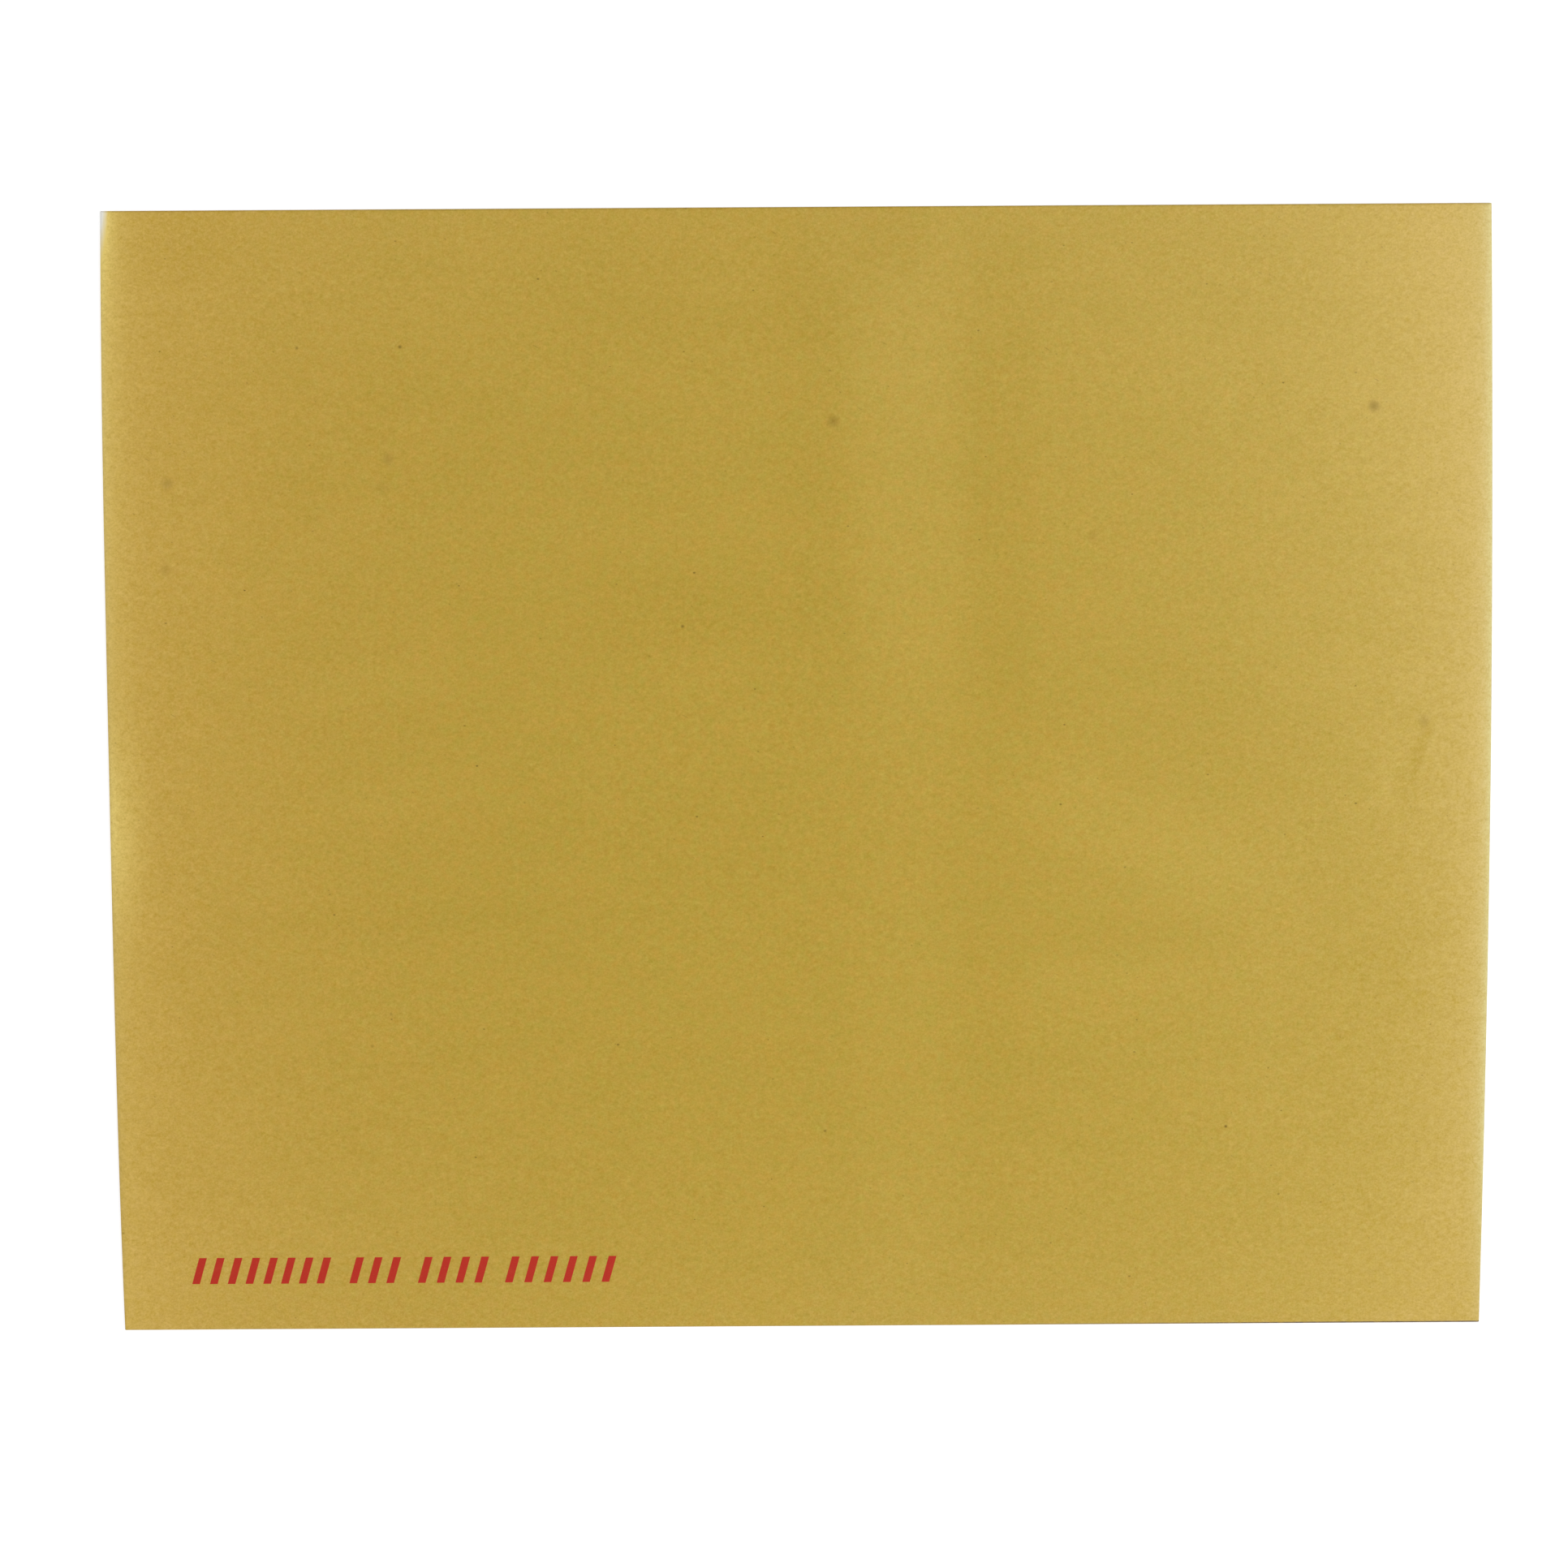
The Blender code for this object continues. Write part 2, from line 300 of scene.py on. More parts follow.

# painted highlights and painted shade on the slack front, where its ripples catch or lose the light: middle,
# reach, turn and how much
shadings = [
    {"centre": (34 * mm, 100 * mm), "reach": (19 * mm, 96 * mm), "turn": 0.03, "lift": 0.036},
    {"centre": (32 * mm, -104 * mm), "reach": (15 * mm, 80 * mm), "turn": 0.0, "lift": 0.018},
    {"centre": (5 * mm, 110 * mm), "reach": (12 * mm, 75 * mm), "turn": 0.03, "lift": -0.018},
    {"centre": (64 * mm, 105 * mm), "reach": (12 * mm, 90 * mm), "turn": 0.0, "lift": -0.026},
    {"centre": (61 * mm, -100 * mm), "reach": (10 * mm, 70 * mm), "turn": 0.0, "lift": -0.014},
    {"centre": (108 * mm, -20 * mm), "reach": (41 * mm, 15 * mm), "turn": -0.46, "lift": 0.044},
    {"centre": (146 * mm, 14 * mm), "reach": (36 * mm, 17 * mm), "turn": -0.45, "lift": -0.018},
    {"centre": (105 * mm, -54 * mm), "reach": (42 * mm, 8 * mm), "turn": 0.0, "lift": -0.014},
    {"centre": (-32 * mm, 54 * mm), "reach": (36 * mm, 13 * mm), "turn": 0.0, "lift": -0.022},
    {"centre": (199.5 * mm, 9.0 * mm), "reach": (2.0 * mm, 10 * mm), "turn": -0.35, "lift": -0.060},
    {"centre": (195.5 * mm, -2.0 * mm), "reach": (3.4 * mm, 10 * mm), "turn": -0.35, "lift": -0.045},
    {"centre": (190 * mm, -3 * mm), "reach": (6 * mm, 10 * mm), "turn": -0.35, "lift": 0.018},
    {"centre": (-138 * mm, 31 * mm), "reach": (26 * mm, 7 * mm), "turn": 0.15, "lift": 0.030},
    {"centre": (-131 * mm, -6 * mm), "reach": (28 * mm, 7 * mm), "turn": 0.2, "lift": 0.020},
    {"centre": (-126 * mm, -47 * mm), "reach": (60 * mm, 5 * mm), "turn": 0.05, "lift": -0.016},
    {"centre": (-166 * mm, 89 * mm), "reach": (14 * mm, 11 * mm), "turn": 0.0, "lift": -0.020},
    {"centre": (-138 * mm, -141 * mm), "reach": (42 * mm, 16 * mm), "turn": 0.0, "lift": 0.016},
    {"centre": (99 * mm, -67 * mm), "reach": (28 * mm, 8 * mm), "turn": 0.0, "lift": 0.018},
    {"centre": (150 * mm, 48 * mm), "reach": (12 * mm, 9 * mm), "turn": 0.0, "lift": 0.018},
    {"centre": (126 * mm, 138 * mm), "reach": (9 * mm, 26 * mm), "turn": 0.6, "lift": 0.018},
    {"centre": (-20 * mm, 160 * mm), "reach": (13 * mm, 10 * mm), "turn": 0.0, "lift": 0.016},
    {"centre": (30 * mm, 176 * mm), "reach": (14 * mm, 14 * mm), "turn": 0.15, "lift": -0.045},
    {"centre": (-28 * mm, 160 * mm), "reach": (62 * mm, 24 * mm), "turn": 0.0, "lift": -0.028},
    {"centre": (-206 * mm, 176 * mm), "reach": (32 * mm, 16 * mm), "turn": 0.0, "lift": -0.040},
    {"centre": (205 * mm, 135 * mm), "reach": (40 * mm, 60 * mm), "turn": 0.0, "lift": 0.025},
    {"centre": (195 * mm, -75 * mm), "reach": (35 * mm, 60 * mm), "turn": 0.0, "lift": -0.028},
]


def slackShade(web, place):
    total = 0.0
    for shading in shadings:
        cover = web.patch(place, shading["centre"], shading["reach"], shading["turn"])
        total = total + shading["lift"] * cover
    return total


def spotCover(web, x, y):
    flat = web.make("ShaderNodeCombineXYZ", {}, {0: x, 1: y}).out()
    total = 0.0
    for spot in spots:
        centre = (*spot["place"], 0.0)
        away = web.make("ShaderNodeVectorMath", {"operation": "DISTANCE"}, {0: flat, 1: centre})
        total = total + away.out("Value").ramp(0.0, spot["radius"], spot["dark"], 0.0)
    return total


def fleckCover(web, place):
    total = 0.0
    for kind in paperFlecks:
        total = total + kind["dark"] * web.flecks(place, **kind["dots"], **kind["lie"])
    return total


def manilaPaper():
    look = manilaLook
    material, web = newMaterial("manilaPaper")
    place = web.make("ShaderNodeTexCoord").out("Object")
    foldHighlight = web.make("ShaderNodeAttribute", {"attribute_name": "foldHighlight"}).out("Fac")
    x, y, z = web.split(place)
    noises = {name: web.noise(place, **pattern) for name, pattern in paperNoises.items()}
    cloud = noises["cloud"]
    formation = noises["formation"]
    grain = noises["grain"]
    fibres = noises["fibres"] + noises["crossed"]

    nearRight = ((x - sheetHigh[0]) / look["endReach"]).exp()
    nearLeft = ((sheetLow[0] - x) / look["endReach"]).exp()
    nearSeams = ((y.abs() - sheetHigh[1]) / look["endReach"]).exp()
    drift = look["hueDrift"] * (nearLeft - nearRight)
    hue = 0.5 + look["hueMottle"] * (noises["mottle"] - 0.5) + look["hueCloud"] * (cloud - 0.5) + drift
    colour = web.mix(hue.clamped(), look["olive"], look["ochre"])
    # painted light: the paper is drawn lighter and paler towards both ends and along the seams, standing in
    # for the side lamps and the sheen there
    lightShare = look["endLightLeft"] * nearLeft + look["endLightRight"] * nearRight + look["seamLightAlong"] * nearSeams
    litColour = web.mix(x > 0.0, look["paintedLightLeft"], look["paintedLightRight"])
    colour = web.mix(lightShare.clamped(), colour, litColour)
    front = z.ramp(look["frontHeight"] - look["frontBlend"], look["frontHeight"] + look["frontBlend"])
    lift = look["streaks"] * (noises["streaks"] - 0.5) + look["cloud"] * (cloud - 0.5)
    lift = lift + look["formation"] * (formation - 0.5) + look["grain"] * (grain - 0.5)
    # the listed areas of the slack front add painted highlights and painted shade to the paper's own grain
    # and clouds
    lift = lift + look["fibres"] * (fibres - 1.0) + slackShade(web, place) * front
    green = 1.0 + look["greenShare"] * lift
    blue = 1.0 + look["blueShare"] * lift + look["tint"] * (noises["tint"] - 0.5)
    shade = web.make("ShaderNodeCombineColor", {}, {0: 1.0 + lift, 1: green, 2: blue}).out()
    colour = web.mix(1.0, colour, shade, "MULTIPLY")

    marked = spotCover(web, x, y) * front
    dark = (fleckCover(web, place) + marked).clamped()
    colour = web.mix(dark, colour, look["fleck"])
    # painted highlights on the end folds and, above 1, a painted white glare, broken up by the grain
    patchy = 1.0 + look["shinePatches"] * (grain - 0.5) + look["shinePatches"] * (formation - 0.5)
    brightening = web.mix(x > 0.0, look["shineLeft"], look["shineRight"])
    colour = web.mix((foldHighlight * patchy).clamped(), colour, brightening)
    colour = web.mix((foldHighlight - 1.0).clamped(), colour, look["glareWhite"])

    # painted shade: a thin dark line along the lower seam, on the part of the fold that faces up
    under = (y - sheetLow[1]).ramp(look["shadeDepth"], look["shadeDepth"] + look["shadeFade"], 1.0, 0.0)
    along = x.ramp(look["shadeFrom"], look["shadeFull"])
    facingUp = (z - panelZ + gluedRadius).ramp(0.0, look["shadeTurn"])
    uneven = 1.0 + look["shadePatches"] * (formation - 0.5)
    seamShade = look["shadeAmount"] * under * along * facingUp * uneven
    colour = web.mix(seamShade.clamped(), colour, look["seamShade"])

    height = 0.5 * grain + 0.2 * fibres + 0.5 * formation
    roughness = look["roughness"] + look["roughnessDrift"] * (formation - 0.5)
    gloss = {"Specular IOR Level": look["gloss"]}
    finishMaterial(web, colour, roughness, height, look["grainDepth"], 0.5, gloss)
    return material


# Folded sheet
sheetSize = {
    "paper": 0.15 * mm,
    "hairline": 0.03 * mm,
    "columns": 180,
    "rows": 120,
    "foldSteps": 18,
    "flapSteps": 8,
    "cornerSteps": 12,
    "cornerPower": 6.0,
    "slackPower": 2.4,
    "crownRise": 1.4 * mm,
    "endLift": 1.2 * mm,
    "seamFlapDepth": 20 * mm,
    "seamFlapSlope": 1.1,
    "endFlapDepth": 28 * mm,
    "endFlapSlope": 1.1,
    "sealFlapDepth": 50 * mm,
    "sealFlapSlope": 0.18,
    "sealCornerRadius": 18 * mm,
}
closedEnd = {"side": -1, "bow": 1.2 * mm, "roll": 6.0 * mm, "power": 3.2}
openEnd = {"side": 1, "bow": 1.8 * mm, "roll": 7.0 * mm, "power": 1.8}

# soft ridges and hollows of the slack front panel: place, reach and height
ripples = [
    {"x": 17 * mm, "y": 120 * mm, "wide": 12 * mm, "long": 170 * mm, "rise": 0.30 * mm},
    {"x": 54 * mm, "y": 120 * mm, "wide": 13 * mm, "long": 170 * mm, "rise": -0.30 * mm},
    {"x": 104 * mm, "y": -28 * mm, "wide": 26 * mm, "long": 30 * mm, "rise": 0.15 * mm},
]
relief = {"noiseRise": 0.10 * mm, "noiseScale": 11.0, "seed": 4.0, "freeFrom": 0.1 * mm, "freeOver": 1.2 * mm}

glueLow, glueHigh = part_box("seam_glue_upper")
panelZ = boardHigh[2] + sheetSize["hairline"] + sheetSize["paper"] / 2
gluedZ = glueLow[2] - sheetSize["hairline"] - sheetSize["paper"] / 2
sealZ = sheetLow[2] + sheetSize["paper"] / 2
gluedRadius = (panelZ - gluedZ) / 2
sealRadius = (panelZ - sealZ) / 2
seamCreaseY = sheetHigh[1] - sheetSize["paper"] / 2 - gluedRadius
closedEnd["radius"] = gluedRadius
openEnd["radius"] = sealRadius
closedEnd["crease"] = -sheetLow[0] - sheetSize["paper"] / 2 - closedEnd["bow"] - gluedRadius
openEnd["crease"] = sheetHigh[0] - sheetSize["paper"] / 2 - openEnd["bow"] - sealRadius
creaseMiddle = (openEnd["crease"] - closedEnd["crease"]) / 2
creaseHalf = (openEnd["crease"] + closedEnd["crease"]) / 2


def slack(share):
    return 1.0 - abs(share) ** sheetSize["slackPower"]


def swell(end, share):
    return 1.0 - abs(share) ** end["power"]


def panelEdge(end, across):
    return end["side"] * (end["crease"] - (end["roll"] - end["bow"]) * swell(end, across))


def rippleRise(x, y):
    total = 0.0
    for ripple in ripples:
        far = ((x - ripple["x"]) / ripple["wide"]) ** 2 + ((y - ripple["y"]) / ripple["long"]) ** 2
        total += ripple["rise"] * math.exp(-far / 2)
    return total


def panelPoint(along, across):
    start = panelEdge(closedEnd, across)
    finish = panelEdge(openEnd, across)
    x = start + (finish - start) * (along + 1) / 2
    y = seamCreaseY * across
    rise = (sheetSize["endLift"] + sheetSize["crownRise"] * (1 - along ** 2)) * slack(across)
    rise += rippleRise(x, y) * (1 - along ** 4) * (1 - abs(across) ** 12)
    return x, y, panelZ + rise


def halfTurn(steps):
    return [math.pi * step / steps for step in range(1, steps + 1)]


def seamRows(side):
    rows = []
    for angle in halfTurn(sheetSize["foldSteps"]):
        y = seamCreaseY + gluedRadius * math.sin(angle)
        z = panelZ - gluedRadius + gluedRadius * math.cos(angle)
        rows.append(lambda share, y=y, z=z: (creaseMiddle + creaseHalf * share, side * y, z))
    for step in range(1, sheetSize["flapSteps"] + 1):
        depth = sheetSize["seamFlapDepth"] * step / sheetSize["flapSteps"]
        y = seamCreaseY - depth
        half = creaseHalf - sheetSize["seamFlapSlope"] * depth
        rows.append(lambda share, y=y, half=half: (creaseMiddle + half * share, side * y, gluedZ))
    return rows


def rollPoint(end, share, angle):
    upper = angle < math.pi / 2
    swollen = swell(end, share)
    width = end["radius"] + (end["roll"] if upper else end["bow"]) * swollen
    height = end["radius"] + (sheetSize["endLift"] * slack(share) if upper else 0.0)
    x = end["crease"] + end["radius"] + end["bow"] * swollen - width * (1 - math.sin(angle))
    z = panelZ - end["radius"] + height * math.cos(angle)
    return end["side"] * x, seamCreaseY * share, z


def rollRows(end):
    angles = halfTurn(sheetSize["foldSteps"])
    return [lambda share, angle=angle: rollPoint(end, share, angle) for angle in angles]


def endFlapRows():
    rows = []
    for step in range(1, sheetSize["flapSteps"] + 1):
        depth = sheetSize["endFlapDepth"] * step / sheetSize["flapSteps"]
        half = seamCreaseY - sheetSize["endFlapSlope"] * depth
        rows.append(lambda share, depth=depth, half=half: (depth - closedEnd["crease"], half * share, gluedZ))
    return rows


def sealFlapRows():
    radius = sheetSize["sealCornerRadius"]
    straight = sheetSize["sealFlapDepth"] - radius
    steps = sheetSize["flapSteps"]
    places = [(straight * step / steps, 0.0) for step in range(1, steps + 1)]
    for step in range(1, sheetSize["cornerSteps"] + 1):
        angle = math.pi / 2 * step / sheetSize["cornerSteps"]
        places.append((straight + radius * math.sin(angle), radius * (1 - math.cos(angle))))
    rows = []
    for depth, inset in places:
        half = seamCreaseY - sheetSize["sealFlapSlope"] * depth - inset
        rows.append(lambda share, depth=depth, half=half: (openEnd["crease"] - depth, half * share, sealZ))
    return rows


def extendSheet(bm, edges, shareLayer, rows):
    for row in rows:
        grown = bmesh.ops.extrude_edge_only(bm, edges=edges)["geom"]
        fresh = {item for item in grown if isinstance(item, bmesh.types.BMVert)}
        for vert in fresh:
            vert.co = row(vert[shareLayer])
        edges = [item for item in grown if isinstance(item, bmesh.types.BMEdge) and set(item.verts) <= fresh]


def cornerPoint(end, side, angle, turn):
    # from the seam fold at turn 0 to the end fold at turn 1, by way of a nearly square corner
    quarter = turn * math.pi / 2
    power = 2 / sheetSize["cornerPower"]
    outward = end["radius"] * math.sin(angle) * math.sin(quarter) ** power
    upward = gluedRadius * math.sin(angle) * max(0.0, math.cos(quarter)) ** power
    radius = gluedRadius + (end["radius"] - gluedRadius) * turn
    z = panelZ - radius * (1 - math.cos(angle))
    return end["side"] * (end["crease"] + outward), side * (seamCreaseY + upward), z


def closeCorner(bm, end, side):
    steps = sheetSize["cornerSteps"]
    angles = [0.0] + halfTurn(sheetSize["foldSteps"])
    columns = []
    for step in range(steps + 1):
        columns.append([bm.verts.new(cornerPoint(end, side, angle, step / steps)) for angle in angles])
    for first, second in zip(columns, columns[1:]):
        for row in range(len(angles) - 1):
            bm.faces.new((first[row], first[row + 1], second[row + 1], second[row]))


def borderEdges(bm, axis, side):
    return [edge for edge in bm.edges if all(abs(vert.co[axis] - side) < 1e-6 for vert in edge.verts)]


def foldedMesh():
    bm = bmesh.new()
    bmesh.ops.create_grid(bm, x_segments=sheetSize["columns"], y_segments=sheetSize["rows"], size=1.0)
    along = bm.verts.layers.float.new("along")
    across = bm.verts.layers.float.new("across")
    for vert in bm.verts:
        vert[along] = vert.co.x
        vert[across] = vert.co.y
    upperSeam = borderEdges(bm, 1, 1)
    lowerSeam = borderEdges(bm, 1, -1)
    closedSide = borderEdges(bm, 0, -1)
    openSide = borderEdges(bm, 0, 1)
    for vert in bm.verts:
        vert.co = panelPoint(vert[along], vert[across])
    extendSheet(bm, upperSeam, along, seamRows(1))
    extendSheet(bm, lowerSeam, along, seamRows(-1))
    extendSheet(bm, closedSide, across, rollRows(closedEnd) + endFlapRows())
    extendSheet(bm, openSide, across, rollRows(openEnd) + sealFlapRows())
    for end in (closedEnd, openEnd):
        closeCorner(bm, end, 1)
        closeCorner(bm, end, -1)
    bmesh.ops.remove_doubles(bm, verts=bm.verts, dist=1e-6)
    bmesh.ops.recalc_face_normals(bm, faces=bm.faces)
    mesh = bpy.data.meshes.new("manilaSheet")
    bm.to_mesh(mesh)
    bm.free()
    return mesh


# Geometry Nodes
def newTree(name, inputs):
    tree = bpy.data.node_groups.new(name, "GeometryNodeTree")
    tree.interface.new_socket("Geometry", in_out="INPUT", socket_type="NodeSocketGeometry")
    for label, (kind, value) in inputs.items():
        socket = tree.interface.new_socket(label, in_out="INPUT", socket_type=kind)
        if value is not None:
            socket.default_value = value
    tree.interface.new_socket("Geometry", in_out="OUTPUT", socket_type="NodeSocketGeometry")
    web = Web(tree)
    return tree, web, web.make("NodeGroupInput")


def applyTree(piece, tree, values):
    # sets the named inputs, then turns the evaluated result into a plain mesh
    modifier = piece.modifiers.new(tree.name, "NODES")
    modifier.node_group = tree
    for item in tree.interface.items_tree:
        if item.in_out == "INPUT" and item.name in values:
            modifier[item.identifier] = values[item.name]
    bakeModifiers(piece)


def bakeModifiers(piece):
    bpy.context.view_layer.update()
    graph = bpy.context.evaluated_depsgraph_get()
    mesh = bpy.data.meshes.new_from_object(piece.evaluated_get(graph), depsgraph=graph)
    piece.modifiers.clear()
    piece.data = mesh


def reliefTree(material):
    # lifts the front panel by a soft noise, least along the seams and the ends
    tree, web, start = newTree("paperRelief", {
        "Rise": ("NodeSocketFloat", relief["noiseRise"]),
        "Scale": ("NodeSocketFloat", relief["noiseScale"]),
        "Seed": ("NodeSocketFloat", relief["seed"]),
        "Panel Height": ("NodeSocketFloat", panelZ),
        "Material": ("NodeSocketMaterial", None),
    })
    position = web.make("GeometryNodeInputPosition").out()
    noise = web.make(
        "ShaderNodeTexNoise",
        {"noise_dimensions": "4D"},
        {"Vector": position, "W": start.out("Seed"), "Scale": start.out("Scale"), "Detail": 1.5},
    ).out(0)
    height = web.make("ShaderNodeSeparateXYZ", {}, {0: position}).out(2)
    freedom = height.ramp(start.out("Panel Height"), start.out("Panel Height") + relief["freeOver"])
    lift = (noise - 0.5) * 2.0 * start.out("Rise") * freedom
    offset = web.make("ShaderNodeCombineXYZ", {}, {2: lift}).out()
    moved = web.make("GeometryNodeSetPosition", {}, {"Geometry": start.out("Geometry"), "Offset": offset})
    real = web.make("GeometryNodeRealizeInstances", {}, {0: moved.out()})
    painted = web.make("GeometryNodeSetMaterial", {}, {0: real.out(), "Material": start.out("Material")})
    web.make("NodeGroupOutput", {}, {0: painted.out()})
    return tree


# painted highlights on the folds of the two ends, where they catch the side light
foldShine = {
    "leftFold": 0.42,
    "leftRise": 1.7,
    "leftReach": 4.2 * mm,
    "leftGlow": 0.50,
    "leftGlowReach": (8.5 * mm, 28 * mm),
    "leftGlowHeight": -18 * mm,
    "rightFold": 0.85,
    "rightReach": 1.3 * mm,
    "rightGlow": 0.29,
    "rightGlowReach": 8.0 * mm,
    "rightLowest": 0.25,
    "rightRise": 90 * mm,
    "cornerGlare": 2.1,
    "glareReach": (1.6 * mm, 9.0 * mm),
}


# strength of the painted highlight on the end folds at a point of the sheet
def highlightStrengthAt(x, y):
    end = openEnd if x > 0 else closedEnd
    reach = end["crease"] + end["radius"] + end["bow"] * swell(end, min(1.0, abs(y) / seamCreaseY))
    inside = max(0.0, reach - abs(x))
    if x > 0:
        brightening = foldShine["rightFold"] * math.exp(-inside / foldShine["rightReach"])
        brightening += foldShine["rightGlow"] * math.exp(-inside / foldShine["rightGlowReach"])
        brightening *= min(1.0, foldShine["rightLowest"] + max(0.0, y - sheetLow[1]) / foldShine["rightRise"])
    else:
        across, down = foldShine["leftGlowReach"]
        far = (inside / across) ** 2 + ((y - foldShine["leftGlowHeight"]) / down) ** 2
        brightening = (foldShine["leftFold"] + foldShine["leftRise"] * y) * math.exp(-inside / foldShine["leftReach"])
        brightening += foldShine["leftGlow"] * math.exp(-far)
    across, down = foldShine["glareReach"]
    # values over 1 paint a white glare at the upper left corner
    brightening = min(1.0, brightening)
    brightening += foldShine["cornerGlare"] * math.exp(-math.hypot((x + reach) / across, (sheetHigh[1] - y) / down))
    return brightening


# stores the painted fold highlight on each vertex
def markHighlights(mesh):
    attribute = mesh.attributes.new("foldHighlight", "FLOAT", "POINT")
    for vert in mesh.vertices:
        attribute.data[vert.index].value = highlightStrengthAt(vert.co.x, vert.co.y)


def makeSheet(material):
    piece = bpy.data.objects.new("manilaSheet", foldedMesh())
    bpy.context.collection.objects.link(piece)
    tree = reliefTree(material)
    applyTree(piece, tree, {
        "Rise": relief["noiseRise"],
        "Scale": relief["noiseScale"],
        "Seed": relief["seed"],
        "Panel Height": panelZ + relief["freeFrom"],
        "Material": material,
    })
    wall = piece.modifiers.new("thickness", "SOLIDIFY")
    wall.thickness = sheetSize["paper"]
    wall.offset = 0.0
    wall.use_even_offset = True
    bakeModifiers(piece)
    piece.data.shade_smooth()
    piece.data.set_sharp_from_angle(angle=math.radians(50))
    markHighlights(piece.data)
    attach(piece, "root")
    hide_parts("paper_sheet")
    print("folded sheet:", len(piece.data.polygons), "faces")
    return piece


# Red handling marks, printed at the lower left of the front
marks = {
    "left": 23.4 * mm,
    "bottom": 15.6 * mm,
    "height": 8.8 * mm,
    "barWidth": 2.5 * mm,
    "slant": 0.28,
    "film": 0.02 * mm,
    "clearance": 0.004 * mm,
}
# each group of bars: where it starts, how long it is, and how many bars it has
markGroups = [
    {"start": 0.0 * mm, "length": 45.4 * mm, "bars": 8},
    {"start": 51.1 * mm, "length": 17.0 * mm, "bars": 3},
    {"start": 73.4 * mm, "length": 23.3 * mm, "bars": 4},
    {"start": 101.7 * mm, "length": 36.4 * mm, "bars": 6},
]
inkLook = {
    "red": (0.430, 0.018, 0.006, 1.0),
    "thin": (0.450, 0.050, 0.012, 1.0),
    "roughness": 0.5,
    "gloss": 0.25,
    "grainDepth": 0.02 * mm,
}


def markingInk():
    material, web = newMaterial("markingInk")
    place = web.make("ShaderNodeTexCoord").out("Object")
    cover = web.noise(place, 1700, 2.0, 0.7, stretch=(0.7, 1.2, 1.0))
    patchy = web.noise(place, 260, 2.0, 0.5)
    thin = (cover.ramp(0.5, 0.8) * 0.45 + patchy.ramp(0.5, 0.8) * 0.25).clamped()
    colour = web.mix(thin, inkLook["red"], inkLook["thin"])
    roughness = inkLook["roughness"] + 0.1 * (cover - 0.5)
    gloss = {"Specular IOR Level": inkLook["gloss"]}
    finishMaterial(web, colour, roughness, cover, inkLook["grainDepth"], 0.5, gloss)
    return material


def marksTree():
    # one slanted bar on each point, laid on the paper below it
    tree, web, start = newTree("handlingMarks", {
        "Sheet": ("NodeSocketObject", None),
        "Base Line": ("NodeSocketFloat", sheetLow[1] + marks["bottom"]),
        "Bar Width": ("NodeSocketFloat", marks["barWidth"]),
        "Bar Height": ("NodeSocketFloat", marks["height"]),
        "Slant": ("NodeSocketFloat", marks["slant"]),
        "Film": ("NodeSocketFloat", marks["film"]),
        "Clearance": ("NodeSocketFloat", marks["clearance"]),
        "Material": ("NodeSocketMaterial", None),
    })
    sides = {0: start.out("Bar Width"), 1: start.out("Bar Height"), 2: start.out("Film")}
    size = web.make("ShaderNodeCombineXYZ", {}, sides)
    counts = {"Size": size.out(), "Vertices X": 3, "Vertices Y": 8, "Vertices Z": 2}
    bar = web.make("GeometryNodeMeshCube", {}, counts)
    pair = {"Points": start.out("Geometry"), "Instance": bar.out()}
    row = web.make("GeometryNodeInstanceOnPoints", {}, pair)
    real = web.make("GeometryNodeRealizeInstances", {}, {0: row.out()}).out()

    position = web.make("GeometryNodeInputPosition").out()
    x, y, z = web.split(position)
    lean = (y - start.out("Base Line")) * start.out("Slant")
    sheared = web.make("ShaderNodeCombineXYZ", {}, {0: x + lean, 1: y, 2: z})
    slanted = web.make("GeometryNodeSetPosition", {}, {"Geometry": real, "Position": sheared.out()}).out()

    sheet = web.make("GeometryNodeObjectInfo", {"transform_space": "RELATIVE"}, {0: start.out("Sheet")})
    down = {
        "Target Geometry": sheet.out("Geometry"),
        "Source Position": web.vector("ADD", position, (0.0, 0.0, 0.05)),
        "Ray Direction": (0.0, 0.0, -1.0),
        "Ray Length": 0.2,
    }
    hit = web.make("GeometryNodeRaycast", {}, down)
    lift = z + start.out("Film") / 2 + start.out("Clearance")
    stand = web.make("ShaderNodeCombineXYZ", {}, {2: lift}).out()
    laid = web.vector("ADD", hit.out("Hit Position"), stand)
    film = web.make("GeometryNodeSetPosition", {}, {"Geometry": slanted, "Position": laid}).out()
    solid = web.make("GeometryNodeRealizeInstances", {}, {0: film}).out()
    painted = web.make("GeometryNodeSetMaterial", {}, {0: solid, "Material": start.out("Material")})
    web.make("NodeGroupOutput", {}, {0: painted.out()})
    return tree


def makeMarks(sheet, material):
    lean = marks["slant"] * marks["height"]
    baseLine = sheetLow[1] + marks["bottom"]
    points = bpy.data.meshes.new("handlingMarks")
    places = []
    for group in markGroups:
        pitch = (group["length"] - marks["barWidth"] - lean) / (group["bars"] - 1)
        first = sheetLow[0] + marks["left"] + group["start"] + marks["barWidth"] / 2
        for bar in range(group["bars"]):
            places.append((first + pitch * bar, baseLine + marks["height"] / 2, 0.0))
    points.from_pydata(places, [], [])
    piece = bpy.data.objects.new("handlingMarks", points)
    bpy.context.collection.objects.link(piece)
    applyTree(piece, marksTree(), {
        "Sheet": sheet,
        "Base Line": baseLine,
        "Bar Width": marks["barWidth"],
        "Bar Height": marks["height"],
        "Slant": marks["slant"],
        "Film": marks["film"],
        "Clearance": marks["clearance"],
        "Material": material,
    })
    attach(piece, "root")
    print("handling marks:", len(piece.data.polygons), "faces")
    return piece


